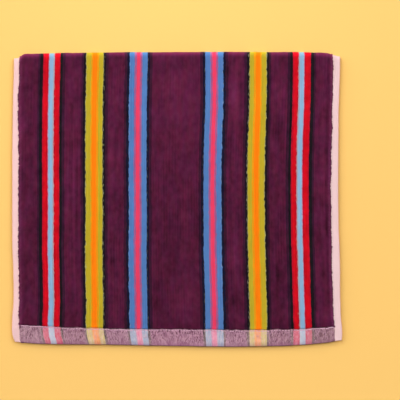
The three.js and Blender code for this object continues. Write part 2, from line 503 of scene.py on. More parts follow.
def unevenness(across, s, pile):
    """Small rises and dips of the upper layer's face: streaks in the pile, puckers in the hem."""
    past_hem = along_of(across, s) - hem_line(across)
    in_hem = smooth(past_hem, 0, 2)
    drawn = PILE_DRAW * near(past_hem + PILE_DRAW_PLACE, PILE_DRAW_REACH)
    sewn = STITCH_DRAW * near(past_hem - STITCH_LINE, STITCH_DRAW_REACH)
    bare = lerp(layers_of(SELVEDGE_UNEVEN, across, s), layers_of(HEM_UNEVEN, across, s) - sewn, in_hem)
    return lerp(bare, layers_of(PILE_UNEVEN, across, s) - drawn, pile)


def cloth_point(across, s, lift=0.0, pile=None, depth=0.0):
    """A point of the cloth's face in space: lift stands it off, depth sinks it to the back,
    and pile=0 takes the bare weave under the pile."""
    across, s = np.broadcast_arrays(np.asarray(across, float), np.asarray(s, float))
    share = pile_share(across, s)
    along = along_of(across, s)
    angle = np.clip(s / FOLD_SPAN, -1, 1) * math.pi / 2
    out, up = np.cos(angle), np.sin(angle)
    pile = share if pile is None else pile
    high, low = upper_face(across, along, pile), lower_face(across, along, pile)
    wall = thickness(across, s, share)
    shift = lift + unevenness(across, s, share) * smooth(up, -0.9, 0.5) * (1 - depth) - wall * depth
    drawn_back = np.where(s < 0, LOWER_END_BACK * (along - FOLD_DEPTH) / FOLDED_LENGTH, 0)
    x = place_across(across, along)
    y = FOLD_Y - along + (FOLD_DEPTH + shift) * out + drawn_back
    z = (high + low) / 2 + ((high - low) / 2 + shift) * up
    return np.stack([x, y, z], axis=-1)


def lean_of(across, s):
    """How far the stripes have leaned aside at a place of the hem."""
    past_hem = along_of(across, s) - hem_line(across)
    into_hem = np.clip(past_hem / (hem_end(across) - hem_line(across)), 0, 1.2)
    start = read(HEM_LEAN, "start", across, OUTLINE_EASE) * smooth(past_hem, 0, HEM_LEAN_EASE)
    return lerp(start, read(HEM_LEAN, "end", across, OUTLINE_EASE), into_hem**HEM_LEAN_GROWTH)


def maps_of(across, s):
    """What a finish needs to know of a place: its line across and along, its distance inside the
    pile's edges at the selvedge and at the hem, its nap's tone with the painted shade and painted highlights,
    and its distance from the hem's end."""
    across, s = np.broadcast_arrays(np.asarray(across, float), np.asarray(s, float))
    lean = lean_of(across, s)
    along = along_of(across, s)
    sides = both_sides(STRIPE_LAY, along, STRIPE_LAY_EASE)
    lay = lerp(*sides, smooth(across, -STRIPE_LAY_MIDDLE, STRIPE_LAY_MIDDLE))
    lay = lay + LEFT_NARROW * smooth(-across, LEFT_NARROW_FROM, LEFT_NARROW_TO)
    inside = in_from_selvedge(across, s) + lean * np.sign(across)
    return {
        "cloth": np.stack([across - lean - lay, s], axis=-1),
        "border": np.stack([inside, hem_line(across) - along], axis=-1),
        "lie": np.stack([nap_and_painted_light(across, s), hem_end(across) - along], axis=-1),
    }


# Meshes


def add_to_scene(name, data, place=(0, 0, 0)):
    obj = bpy.data.objects.new(name, data)
    obj.location = place
    bpy.context.scene.collection.objects.link(obj)
    return obj


def corners_of(faces):
    """The points at the corners of groups of faces, and how many corners each face has."""
    sizes = [np.full(len(group), group.shape[1]) for group in faces]
    return np.concatenate([group.ravel() for group in faces]), np.concatenate(sizes)


def make_piece(name, points, faces, maps, finishes, finish_of=None):
    """A piece from points in millimetres, groups of faces of one size each, and its maps,
    which hold two numbers for each point, or for each corner of the faces."""
    mesh = bpy.data.meshes.new(name)
    corners, sizes = corners_of(faces)
    mesh.vertices.add(len(points))
    mesh.vertices.foreach_set("co", (points * MM).ravel())
    mesh.loops.add(len(corners))
    mesh.loops.foreach_set("vertex_index", corners)
    mesh.polygons.add(len(sizes))
    mesh.polygons.foreach_set("loop_start", np.cumsum(sizes) - sizes)
    mesh.update(calc_edges=True)
    for finish in finishes:
        mesh.materials.append(finish)
    if finish_of is not None:
        mesh.polygons.foreach_set("material_index", finish_of)
    for map_name, values in maps.items():
        layer = mesh.uv_layers.new(name=map_name)
        by_corner = values if len(values) == len(corners) else values[corners]
        layer.uv.foreach_set("vector", by_corner.ravel())
    mesh.shade_smooth()
    mesh.validate()
    return add_to_scene(name, mesh)


def column_places():
    """The mesh's lengthwise lines, closest at the pile's edges."""
    lines = np.array(PILE_LINES)
    inset = SELVEDGE_THICKNESS / 2
    left_flat = np.linspace(-HALF_WIDTH + inset, LEFT_PILE + lines[0], SELVEDGE_COLUMNS)[:-1]
    right_flat = np.linspace(RIGHT_PILE - lines[0], HALF_WIDTH - inset, SELVEDGE_COLUMNS)[1:]
    body = np.linspace(LEFT_PILE + lines[-1], RIGHT_PILE - lines[-1], BODY_COLUMNS)[1:-1]
    return np.concatenate([left_flat, LEFT_PILE + lines, body, (RIGHT_PILE - lines)[::-1], right_flat])


def layer_rows(across, body_rows, hem_rows):
    """Places along the cloth of a layer's rows from the fold to the hem's end, as (rows, columns)."""
    lines = np.array(PILE_LINES)[::-1, None]
    hem = s_of(across, hem_line(across))
    end = s_of(across, hem_end(across)) - HEM_THICKNESS / 2
    body = lerp(FOLD_SPAN, hem - lines[0], np.linspace(0, 1, body_rows)[:-1, None])
    flat = lerp(hem - lines[-1], end, np.linspace(0, 1, hem_rows)[1:, None])
    return np.concatenate([body, hem - lines, flat])


def grid_places():
    """Places across and along of every point of the face grid, from the lower hem to the upper."""
    across = column_places()
    lower = -layer_rows(across, LOWER_ROWS, LOWER_HEM_ROWS)[::-1]
    upper = layer_rows(across, BODY_ROWS, HEM_ROWS)
    loop = np.linspace(-FOLD_SPAN, FOLD_SPAN, FOLD_STEPS + 1)[1:-1, None] + 0 * across
    s = np.concatenate([lower, loop, upper])
    from_edge = np.abs(HALF_WIDTH - selvedge_width(across) - np.abs(across))
    at_edge = 1 - smooth(from_edge, 0, DRIFT_REACH)
    return across + np.sign(across) * side_drift(across, s) * at_edge, s


def unit(vectors):
    return vectors / np.maximum(np.linalg.norm(vectors, axis=-1, keepdims=True), 1e-9)


def rim_of(index):
    """The face grid's rim as one loop of point numbers: left side, upper hem, right side, lower hem."""
    return np.concatenate([index[:-1, 0], index[-1, :-1], index[:0:-1, -1], index[0, :0:-1]])


def outward(grid):
    """Direction out of the cloth's plane edge at every rim point, diagonal at the corners."""
    out = np.zeros_like(grid)
    out[:, 0] += unit(grid[:, 0] - grid[:, 1])
    out[:, -1] += unit(grid[:, -1] - grid[:, -2])
    out[0] += unit(grid[0] - grid[1])
    out[-1] += unit(grid[-1] - grid[-2])
    return out


def back_faces(index, rows, columns):
    """Coarse faces of the cloth's back, which take in every rim point that they pass."""
    last_row, last_column = index.shape[0] - 1, index.shape[1] - 1
    groups = defaultdict(list)
    for top, bottom in zip(rows, rows[1:]):
        for left, right in zip(columns, columns[1:]):
            north = range(left, right) if top == 0 else (left,)
            east = range(top, bottom) if right == last_column else (top,)
            south = range(right, left, -1) if bottom == last_row else (right,)
            west = range(bottom, top, -1) if left == 0 else (bottom,)
            face = [index[top, c] for c in north] + [index[r, right] for r in east]
            face += [index[bottom, c] for c in south] + [index[r, left] for r in west]
            groups[len(face)].append(face)
    return [np.array(group) for group in groups.values()]


# The square picture of the whole cloth: half its width, and for each part of the cloth where its length
# starts and how long it is, in millimetres, and how high up the picture it lies and how tall it is there
PICTURE_HALF_WIDTH = 257
PICTURE_UPPER = (-11, 480, 0.375, 0.62)
PICTURE_LOWER = (-466, 460, 0.195, 0.165)
PICTURE_BACK = (-466, 932, 0.005, 0.17)


def bake_places(across, s, upper, back):
    """Places on the picture of the whole cloth: upper face, lower face and back, one over another."""
    parts = (PICTURE_UPPER, PICTURE_LOWER, PICTURE_BACK)
    high, low, behind = (foot + (s - start) / length * tall for start, length, foot, tall in parts)
    u = (across + PICTURE_HALF_WIDTH) / (2 * PICTURE_HALF_WIDTH)
    return np.stack([u, np.where(back, behind, np.where(upper, high, low))], axis=-1)


def towel_cloth(velour, flat_weave, loops):
    """The whole cloth as one closed sheet: face, rounded edges and back."""
    across, s = grid_places()
    place = np.stack([across, s], axis=-1)
    rows, columns = across.shape
    index = np.arange(rows * columns).reshape(rows, columns)
    quads = np.stack([index[:-1, :-1], index[1:, :-1], index[1:, 1:], index[:-1, 1:]], -1).reshape(-1, 4)
    grid = cloth_point(across, s)
    side = np.zeros((rows, columns, 2))
    side[:, 0, 0], side[:, -1, 0], side[0, :, 1], side[-1, :, 1] = -1, 1, -1, 1

    rim = rim_of(index)
    of_grid = (grid, cloth_point(across, s, depth=1), outward(grid), place, side)
    top, bottom, out, rim_place, rim_side = (value.reshape(len(index.ravel()), -1)[rim] for value in of_grid)
    reach = np.linalg.norm(top - bottom, axis=-1, keepdims=True) / 2
    points, places, rings, edge = [grid.reshape(-1, 3)], [place.reshape(-1, 2)], [rim], []
    count = rows * columns
    for step in range(1, EDGE_STEPS + 1):
        turn = math.pi * step / EDGE_STEPS
        middle, half = (top + bottom) / 2, (top - bottom) / 2
        points.append(middle + half * math.cos(turn) + out * reach * math.sin(turn))
        places.append(rim_place + rim_side * turn * reach)
        inner, outer = rings[-1], count + np.arange(len(rim))
        edge.append(np.stack([inner, outer, np.roll(outer, -1), np.roll(inner, -1)], -1))
        rings.append(outer)
        count += len(rim)

    back_rows = np.unique(np.linspace(0, rows - 1, BACK_ROWS).round().astype(int))
    back_columns = np.unique(np.linspace(0, columns - 1, BACK_COLUMNS).round().astype(int))
    inner = tuple(line.ravel() for line in np.meshgrid(back_rows[1:-1], back_columns[1:-1], indexing="ij"))
    back_index = np.full((rows, columns), -1)
    back_index[inner] = count + np.arange(len(inner[0]))
    back_index.ravel()[rim] = rings[-1]
    points.append(cloth_point(across[inner], s[inner], depth=1))
    places.append(place[inner])
    places = np.concatenate(places)
    back = back_faces(back_index, back_rows, back_columns)

    faces = [quads, np.concatenate(edge), *back]
    maps = maps_of(*places.T)
    finish_of = np.repeat([0, 1, 2], [len(quads), len(faces[1]), sum(map(len, back))])
    finish_of[: len(quads)] = np.any(maps["border"][quads].mean(axis=1) < 0, axis=1)
    corners, sizes = corners_of(faces)
    middles = np.concatenate([places[:, 1][group].mean(axis=1) for group in faces])
    is_upper, is_back = np.repeat(middles > -FOLD_SPAN, sizes), np.repeat(finish_of == 2, sizes)
    maps["OFBake"] = bake_places(*places[corners].T, is_upper, is_back)
    finishes = [velour, flat_weave, loops]
    return make_piece("towel_cloth", np.concatenate(points), faces, maps, finishes, finish_of)


def strands(name, finish, paths, radii, side, places, sides=4, flatness=1.0):
    """One joined mesh of short closed strands. paths is (count, steps, 3), radii (count, steps),
    side the direction across each strand, places its place across and along the cloth."""
    count, steps = paths.shape[:2]
    run = unit(np.gradient(paths, axis=1))
    side = np.broadcast_to(side, paths.shape[:1] + (3,))[:, None, :]
    wide = unit(side - run * np.sum(side * run, axis=-1, keepdims=True))
    tall = np.cross(run, wide)
    turn = (np.arange(sides) * 2 * math.pi / sides + math.pi / sides)[:, None]
    round_about = wide[:, :, None] * np.cos(turn) + flatness * tall[:, :, None] * np.sin(turn)
    points = paths[:, :, None] + round_about * radii[:, :, None, None]
    points[..., 2] = np.maximum(points[..., 2], 0)
    index = np.arange(count * steps * sides).reshape(count, steps, sides)
    following = np.roll(index, -1, axis=2)
    walls = np.stack([index[:, :-1], following[:, :-1], following[:, 1:], index[:, 1:]], -1)
    caps = np.concatenate([index[:, 0, ::-1], index[:, -1]])
    maps = {key: np.repeat(values, steps * sides, axis=0) for key, values in places.items()}
    return make_piece(name, points.reshape(-1, 3), [walls.reshape(-1, 4), caps], maps, [finish])


# How far inside the pile's edges a finish takes a strand to stand
PILE_PLACE = 6
EDGE_TUFT_PLACE = 1.2


def pile_maps(across, s, place=PILE_PLACE):
    """Maps for strands of the pile itself: the stripe they stand in, and a place inside its edges."""
    inside = np.full(np.shape(across), place, float)
    maps = maps_of(across, s)
    return {
        "cloth": maps["cloth"],
        "border": np.stack([inside, inside], -1),
        "lie": np.stack([maps["lie"][..., 0], inside], -1),
    }


# Locks of pile: how they are spaced and scattered, how thick they are, and how they lean out. Distances
# inside the pile's edge are positive, and the root, bend and tip are the three places along a lock.
TUFT_PITCH = 1.25
TUFT_WIDTH = 0.75
TUFT_TAPER = np.array([1.0, 0.9, 0.3])
TUFT_ROOT = 1.3
TUFT_BEND = 0.2
TUFT_LIFT = 1.15
TUFT_TIP_LIFT = 0.35
TUFT_BEND_LEAN = 0.4
TUFT_COLOUR_PLACE = 2
LEAST_REACH = 0.1
CLUMP = 0.6


def tufts(name, velour, random, at, lean, reach, bend_lift, widest, side, places, free=1.0):
    """Locks of pile. `at` gives the place on the cloth at a distance out past the pile's edge and one
    along it, and `free` is how high they may stand."""
    root = cloth_point(*at(-TUFT_ROOT, 0), lift=TUFT_LIFT * free, pile=0)
    bend = cloth_point(*at(-TUFT_BEND, lean * TUFT_BEND_LEAN), lift=bend_lift * free, pile=0)
    tip = cloth_point(*at(reach, lean), lift=TUFT_TIP_LIFT * free, pile=0)
    width = TUFT_WIDTH * random.uniform(0.8, widest, len(root))
    paths = np.stack([root, bend, tip], axis=1)
    return strands(name, velour, paths, width[:, None] * TUFT_TAPER, np.array(side), places)


# The locks along the selvedges: how high they bend, how far they reach out at least and how much further
# the longest go, how they are scattered and slanted, and how they are pressed flat inside the fold
SIDE_BEND_LIFT = 1.2
SIDE_TIP_REACH = (0.2, 1.1)
SIDE_SCATTER = 0.4
SIDE_LEAN = 0.5
TUFTS_BEFORE_HEM = 6
FREE_IN_FOLD = 0.2
FREE_EASE = 4


def selvedge_tufts(velour):
    """Locks of pile that lean out over both selvedges, on both layers and round the fold."""
    random = np.random.default_rng(51)
    end = s_of(0.0, hem_line(0.0)) - TUFTS_BEFORE_HEM
    s, side, reach = [], [], []
    for sign in (-1.0, 1.0):
        for row_inset in (0.0, 0.5):
            row = np.arange(-end, end, TUFT_PITCH)
            s.append(row + random.uniform(-SIDE_SCATTER, SIDE_SCATTER, len(row)))
            side.append(np.full(len(row), sign))
            reach.append(random.uniform(LEAST_REACH, 1.0, len(row)) * (1 - row_inset))
    s, side, reach = np.concatenate(s), np.concatenate(side), np.concatenate(reach)
    edge = side * (HALF_WIDTH - selvedge_width(side) + side_drift(side, s))
    reach = np.clip(reach + CLUMP * uneven(15, side * 20, s, 9, NOTCH_GRAIN), 0, 1.3)
    lean = random.uniform(-SIDE_LEAN, SIDE_LEAN, len(s))
    free = lerp(FREE_IN_FOLD, 1, smooth(np.abs(s), FOLD_SPAN - FREE_EASE, FOLD_SPAN + FREE_EASE))
    out = (SIDE_TIP_REACH[0] + SIDE_TIP_REACH[1] * reach) * free
    places = pile_maps(edge - side * TUFT_COLOUR_PLACE, s, place=EDGE_TUFT_PLACE)

    def at(past_edge, shift):
        return edge + side * past_edge, s + shift

    return tufts(
        "selvedge_tufts", velour, random, at, lean, out, SIDE_BEND_LIFT, 1.15, (0, 1.0, 0), places, free
    )


# The locks along the hems, in the same way
HEM_TIP_REACH = (0.1, 0.9)
HEM_SCATTER = 0.35
HEM_LOCK_LEAN = 0.4


def hem_tufts(velour):
    """Locks of pile that lean out over both hems."""
    random = np.random.default_rng(52)
    across = np.arange(LEFT_PILE + 0.5, RIGHT_PILE - 0.5, TUFT_PITCH)
    across = np.concatenate([across, across + TUFT_PITCH / 2])
    across = across + random.uniform(-HEM_SCATTER, HEM_SCATTER, len(across))
    across = np.concatenate([across, across])
    layer = np.repeat([1.0, -1.0], len(across) // 2)
    hem = s_of(across, hem_line(across))
    reach = random.uniform(LEAST_REACH, 1.0, len(across))
    reach = np.clip(reach + CLUMP * uneven(16, across, 0, NOTCH_GRAIN, 9), 0, 1.4)
    lean = random.uniform(-HEM_LOCK_LEAN, HEM_LOCK_LEAN, len(across))
    out = HEM_TIP_REACH[0] + HEM_TIP_REACH[1] * reach
    places = pile_maps(across, layer * (hem - TUFT_COLOUR_PLACE))

    def at(past_edge, shift):
        return across + shift, layer * (hem + past_edge)

    return tufts("hem_tufts", velour, random, at, lean, out, TUFT_LIFT, 1.1, (1.0, 0, 0), places)


# How far the hem's threads slant to either side, and over what distance that turns
HEM_FAN = 0.4
HEM_FAN_GRAIN = 16
SLANT_SCATTER = 0.1

# The bright stripes, where no dark threads float
BRIGHT_STRIPES = ((43, 73), (110, 140), (177, 208))

# The floating threads' lengths, their shape from end to end, and how they are shared out
FLOAT_LENGTH = (1.8, 4.6)
FLOAT_STEPS = np.array([-0.5, -0.2, 0.2, 0.5])
FLOAT_LIFT = np.array([-0.1, 0.16, 0.16, -0.1])
FLOAT_TAPER = np.array([0.6, 1.0, 1.0, 0.6])
FLOAT_FLATNESS = 0.6
SHARE_ON_TOP = 0.8
NEAR_PILE_BAND = 0.25
FLOATS_FROM = 1
FLOATS_INSET = 5


def hem_floats(name, finish, seed, count, thin, near_pile, dark=False):
    """Short slanted threads that float on the upper and lower hems, a share of them near the pile."""
    random = np.random.default_rng(seed)
    across = random.uniform(LEFT_PILE + 1, RIGHT_PILE - 1, count)
    if dark:
        in_bright = [(np.abs(across) > low) & (np.abs(across) < high) for low, high in BRIGHT_STRIPES]
        across = across[~np.any(in_bright, axis=0)]
        count = len(across)
    layer = np.where(random.random(count) < SHARE_ON_TOP, 1.0, -1.0)
    hem = s_of(across, hem_line(across))
    depth = hem_end(across) - hem_line(across)
    length = random.uniform(*FLOAT_LENGTH, count)
    close = random.random(count) < near_pile
    place = np.where(close, NEAR_PILE_BAND * random.random(count), random.random(count))
    s = hem + FLOATS_FROM + length / 2 + place * (depth - FLOATS_INSET - length)
    slant = HEM_FAN * uneven(62, across, 0, HEM_FAN_GRAIN, 9) + random.normal(0, SLANT_SCATTER, count)
    path_x = across[:, None] + slant[:, None] * length[:, None] * FLOAT_STEPS
    path_s = s[:, None] + length[:, None] * FLOAT_STEPS
    paths = cloth_point(path_x, layer[:, None] * path_s, lift=FLOAT_LIFT + 0 * path_x)
    radii = thin * random.uniform(0.8, 1.2, (count, 1)) * FLOAT_TAPER
    places = pile_maps(across, layer * s)
    return strands(name, finish, paths, radii, np.array([1.0, 0, 0]), places, flatness=FLOAT_FLATNESS)


# The stitches: how far apart they are, the share of that which each covers in the middle and near the
# sides, their shape from end to end, and how the line wavers and bends towards the pile near the sides
STITCH_PITCH = 4.4
STITCH_SHARE = 0.66
SIDE_STITCH_SHARE = 0.95
STITCH_STEPS = np.array([0, 0.12, 0.35, 0.65, 0.88, 1.0])
STITCH_LIFT = np.array([-0.5, 0.2, 0.55, 0.55, 0.2, -0.5])
STITCH_SCATTER = 0.7
STITCH_WAVER = 0.5
STITCH_BEND = 0.9
THREAD_RADIUS = 0.52
END_THREAD_RADIUS = 0.7
SIDE_STITCHES = (175, 205)
BEND_PLACES = (170, 235)
THICKER_PLACES = (185, 215)


def hem_stitches(thread):
    """The line of stitches that holds each turned hem, just past the pile."""
    random = np.random.default_rng(55)
    starts = np.arange(LEFT_PILE - 1, RIGHT_PILE - STITCH_PITCH, STITCH_PITCH)
    starts = starts + random.uniform(-STITCH_SCATTER, STITCH_SCATTER, len(starts))
    starts = np.concatenate([starts, starts])
    layer = np.repeat([1.0, -1.0], len(starts) // 2)
    near_side = smooth(np.abs(starts), *SIDE_STITCHES)[:, None]
    across = starts[:, None] + STITCH_STEPS * STITCH_PITCH * lerp(STITCH_SHARE, SIDE_STITCH_SHARE, near_side)
    waver = STITCH_WAVER * uneven(61, across, 0, 14, 14)
    offset = STITCH_LINE + waver - STITCH_BEND * smooth(np.abs(across), *BEND_PLACES)
    s = s_of(across, hem_line(starts)[:, None] + offset)
    paths = cloth_point(across, layer[:, None] * s, lift=STITCH_LIFT + 0 * across, pile=0)
    radii = THREAD_RADIUS + (END_THREAD_RADIUS - THREAD_RADIUS) * smooth(np.abs(across), *THICKER_PLACES)
    places = pile_maps(starts, layer * s[:, 0])
    return strands("hem_stitches", thread, paths, radii, np.array([0, 1.0, 0]), places, sides=6)


# The turns of the weft: how far apart they are, and for each of their four points how far inside the
# cloth's edge it lies, how far it stands off the face and how thick it is
TURN_PITCH = 1.7
TURN_SCATTER = 0.25
TURN_RADIUS = (0.42, 0.6)
TURN_SHAPE = table(
    "inset lift taper",
    (1.5, 0.05, 0.5),
    (0.35, -0.15, 0.8),
    (0, -0.8, 0.9),
    (0.35, -1.4, 0.7),
)
TURN_MIDDLE = 2
TURN_REACH = (0.12, 0.4)


def selvedge_turns(thread):
    """Weft threads that turn back round the outer edge of each selvedge."""
    random = np.random.default_rng(71)
    end = s_of(HALF_WIDTH, hem_end(HALF_WIDTH)) - 3
    row = np.arange(-end, end, TURN_PITCH)
    s = np.concatenate([row, row]) + random.uniform(-TURN_SCATTER, TURN_SCATTER, 2 * len(row))
    side = np.repeat([-1.0, 1.0], len(row))
    edge = side * HALF_WIDTH
    inset = TURN_SHAPE["inset"] + np.zeros((len(s), 1))
    inset[:, TURN_MIDDLE] = -random.uniform(*TURN_REACH, len(s))
    across = edge[:, None] - side[:, None] * inset
    paths = cloth_point(across, s[:, None] + 0 * across, lift=TURN_SHAPE["lift"] + 0 * across)
    radii = random.uniform(*TURN_RADIUS, (len(s), 1)) * TURN_SHAPE["taper"]
    return strands("selvedge_turns", thread, paths, radii, np.array([0, 1.0, 0]), pile_maps(edge, s))


# Colours, as seen in even light


def srgb(red, green, blue):
    """A colour as seen, 0 to 255, as the light it gives back."""
    shares = [value / 255 for value in (red, green, blue)]
    light = [v / 12.92 if v <= 0.04045 else ((v + 0.055) / 1.055) ** 2.4 for v in shares]
    return (*light, 1.0)


PLUM = srgb(80, 24, 52)
DEEP_PLUM = srgb(55, 22, 43)
BLACK = srgb(28, 20, 26)
NAVY = srgb(24, 21, 42)
CRIMSON = srgb(182, 14, 38)
RED = srgb(199, 13, 28)
PALE_BLUE = srgb(136, 169, 201)
PALE_GREY = srgb(156, 154, 168)
LILAC = srgb(160, 130, 160)
TAN = srgb(164, 154, 72)
OLIVE = srgb(183, 160, 40)
GOLD = srgb(224, 145, 22)
ORANGE = srgb(250, 124, 13)
BLUE = srgb(80, 118, 175)
MAUVE = srgb(152, 86, 130)
PINK = srgb(225, 61, 96)
PALE_PINK = srgb(247, 210, 211)
PALE_TIPS = srgb(228, 165, 230)
GROUND = srgb(200, 192, 160)
FLOAT_PINK = srgb(228, 180, 204)
STITCH_PINK = srgb(240, 192, 218)
LEFT_PINK = srgb(241, 200, 199)
RIGHT_PINK = srgb(241, 207, 208)
# Darker towards the hem's end: partly the warp showing where the hem rolls, partly painted shade
HEM_END_WARP_AND_SHADE = srgb(112, 62, 98)
HEM_BROWN = srgb(138, 98, 96)
# Darkest at the hem's very edge: partly the warp, partly painted shadow
HEM_EDGE_WARP_AND_SHADOW = srgb(70, 22, 44)
WEFT_SHADE = srgb(226, 178, 186)
YELLOW_PAPER = srgb(251, 202, 116)

# What the nap's own colour is multiplied by where it is warmer, cooler, duller or fresher, and the painted
# warm
# # reflection where the light catches it along the fold
WARM_NAP = (1.035, 0.985, 0.955, 1)
COOL_NAP = (0.965, 0.98, 1.07, 1)
DULL_NAP = (1.0, 0.9, 0.98, 1)
FRESH_NAP = (0.99, 1.16, 1.03, 1)
FOLD_PAINTED_WARM_LIGHT = (1.02, 1.2, 0.85, 1)
SHEEN = (1.0, 0.84, 0.92, 1)
TWIST_SHADE = 0.78

# The warp's stripes in two runs, as how far each reaches from the cloth's middle in millimetres
INNER_STRIPES = (
    (36.5, PLUM), (40.1, DEEP_PLUM), (44.1, NAVY), (51.8, BLUE), (55.0, MAUVE), (61.1, PINK),
    (64.1, MAUVE), (71.6, BLUE), (76.0, NAVY), (79.4, DEEP_PLUM), (104.4, PLUM), (107.8, DEEP_PLUM),
    (111.4, BLACK), (112.5, TAN), (118.5, OLIVE), (121.7, GOLD), (128.0, ORANGE), (130.6, GOLD),
    (137.3, OLIVE), (138.4, TAN), (142.2, BLACK), (145.5, DEEP_PLUM), (250.0, PLUM),
)
RUNS_MEET = 158
OUTER_STRIPES = (
    (170.8, PLUM), (174.1, DEEP_PLUM), (178.2, BLACK), (179.8, CRIMSON), (184.8, RED),
    (186.9, CRIMSON), (188.7, PALE_GREY), (194.7, PALE_BLUE), (195.4, LILAC), (197.6, CRIMSON),
    (203.8, RED), (206.0, CRIMSON), (210.8, BLACK), (213.8, DEEP_PLUM), (250.0, PLUM),
)

# The same stripes in the hem, where they are seen through the pale weft
HEM_MAUVE = srgb(182, 126, 154)
HEM_HEATHER = srgb(180, 130, 154)
HEM_DUSK = srgb(171, 120, 141)
HEM_ROSE = srgb(177, 132, 150)
HEM_SMOKE = srgb(134, 112, 111)
HEM_BLUE = srgb(182, 194, 211)
HEM_PINK = srgb(242, 165, 192)
HEM_OLIVE = srgb(230, 207, 147)
HEM_ORANGE = srgb(255, 177, 113)
HEM_RED = srgb(225, 110, 135)
HEM_SKY = srgb(197, 213, 227)
HEM_STRIPES = (
    (40.5, HEM_MAUVE), (44.1, HEM_SMOKE), (53.0, HEM_BLUE), (62.0, HEM_PINK), (71.5, HEM_BLUE),
    (75.0, HEM_SMOKE), (108.3, HEM_HEATHER), (111.7, HEM_SMOKE), (119.8, HEM_OLIVE),
    (129.3, HEM_ORANGE), (138.2, HEM_OLIVE), (141.6, HEM_SMOKE), (174.0, HEM_DUSK),
    (177.6, HEM_SMOKE), (186.9, HEM_RED), (195.6, HEM_SKY), (205.6, HEM_RED), (209.8, HEM_SMOKE),
    (250.0, HEM_ROSE),
)

# How ragged the stripes' borders are, at each distance from the middle
RAGGED = (
    (0, 0.3), (40, 0.5), (50, 0.5), (63, 0.7), (72, 0.9), (77, 1.1), (84, 0.5), (90, 0.3),
    (109, 0.75), (114, 0.75), (118, 0.5), (134, 0.6), (137, 1.0), (140, 1.0), (146, 0.35),
    (182, 0.4), (187, 0.45), (197, 0.45), (201, 0.35), (208, 0.5), (250, 0.3),
)

# Where the pale ground shows between two stripes, and how much of it
GROUND_LINES = (
    (44.1, 0.15), (71.6, 0.3), (111.5, 0.5), (138.3, 0.6), (186.9, 0.35), (195.6, 0.2),
)
GROUND_LINE_REACH = 0.9


class Spread:
    """A number or colour that changes over a surface. Sums of numbers add Math nodes."""

    def __init__(self, finish, socket):
        self.finish = finish
        self.socket = socket

    def work(self, operation, *values):
        return self.finish.node("Math", {"operation": operation}, dict(enumerate(values)))

    def __add__(self, other):
        return self.work("ADD", self, other)

    __radd__ = __add__

    def __sub__(self, other):
        return self.work("SUBTRACT", self, other)

    def __rsub__(self, other):
        return self.work("SUBTRACT", other, self)

    def __mul__(self, other):
        return self.work("MULTIPLY", self, other)

    __rmul__ = __mul__

    def __truediv__(self, other):
        return self.work("DIVIDE", self, other)

    def __abs__(self):
        return self.work("ABSOLUTE", self)

    def above(self, limit):
        return self.work("GREATER_THAN", self, limit)


class Finish:
    """A cloth finish: one material and the nodes that it is worked out with."""

    def __init__(self, name):
        self.material = bpy.data.materials.new(name)
        self.material.use_nodes = True
        self.tree = self.material.node_tree
        self.tree.nodes.clear()

    def node(self, kind, settings, sockets, output=0):
        made = self.tree.nodes.new("ShaderNode" + kind)
        for name, value in settings.items():
            if name == "stops":
                self.set_stops(made.color_ramp, value)
            elif name == "blend_between":
                made.color_ramp.interpolation = value
            else:
                setattr(made, name, value)
        for name, value in sockets.items():
            if isinstance(value, Spread):
                self.tree.links.new(value.socket, made.inputs[name])
            else:
                made.inputs[name].default_value = value
        return Spread(self, made.outputs[output])

    @staticmethod
    def set_stops(ramp, stops):
        while len(ramp.elements) > 1:
            ramp.elements.remove(ramp.elements[-1])
        ramp.elements[0].position, ramp.elements[0].color = stops[0]
        for position, colour in stops[1:]:
            ramp.elements.new(position).color = colour

    def place(self, map_name):
        """The two numbers that a map of the cloth holds."""
        whole = self.node("UVMap", {"uv_map": map_name}, {})
        first = self.node("SeparateXYZ", {}, {0: whole}, output=0)
        return first, Spread(self, first.socket.node.outputs[1])

    def grey(self, colour):
        """The lightness of a colour."""
        return self.node("RGBToBW", {}, {0: colour})

    def noise(self, x, y, grain_x, grain_y, seed, detail=0.0):
        """Soft noise from 0 to 1 with a grain in millimetres across and along."""
        spot = self.node("CombineXYZ", {}, {0: x / grain_x, 1: y / grain_y, 2: seed * 7.3})
        return self.node("TexNoise", {}, {"Vector": spot, "Scale": 1.0, "Detail": detail})

    def wave(self, x, y, pitch, length, wander):
        """Even lengthwise ribs, 0 to 1, one every pitch, that wander over a length."""
        bands = 20 / (2 * math.pi)
        spot = self.node("CombineXYZ", {}, {0: x / (pitch * bands), 1: y / (length * bands)})
        sockets = {"Vector": spot, "Scale": 1.0, "Distortion": wander, "Detail": 0.0}
        return self.node("TexWave", {}, sockets)

    def ramp(self, value, stops, between="LINEAR"):
        """Colours given at places from 0 to 1."""
        return self.node("ValToRGB", {"blend_between": between, "stops": stops}, {0: value})

    def eased(self, value, low, high):
        """0 at low and 1 at high, eased between."""
        settings = {"interpolation_type": "SMOOTHSTEP"}
        return self.node("MapRange", settings, {0: value, 1: low, 2: high})

    def mixed(self, share, first, second, blend="MIX"):
        """Two colours mixed, with share of the second."""
        settings = {"data_type": "RGBA", "blend_type": blend}
        return self.node("Mix", settings, {0: share, 6: first, 7: second}, output=2)

    def surface(self, colour, roughness, height=None, distance=0.0, specular=0.1, more=()):
        """The shader, with height in shares of a distance in metres, and any more of its sockets."""
        sockets = {"Base Color": colour, "Roughness": roughness, "Specular IOR Level": specular}
        sockets.update(more)
        if height is not None:
            relief = {"Strength": 1.0, "Distance": distance, "Height": height}
            sockets["Normal"] = self.node("Bump", {}, relief)
        shader = self.node("BsdfPrincipled", {}, sockets)
        output = self.tree.nodes.new("ShaderNodeOutputMaterial")
        self.tree.links.new(shader.socket, output.inputs["Surface"])
        return self.material


def grey_stops(rows):
    """Stops of a ramp that gives a number at each distance from the cloth's middle."""
    return [(reach / HALF_WIDTH, (amount, amount, amount, 1)) for reach, amount in rows]


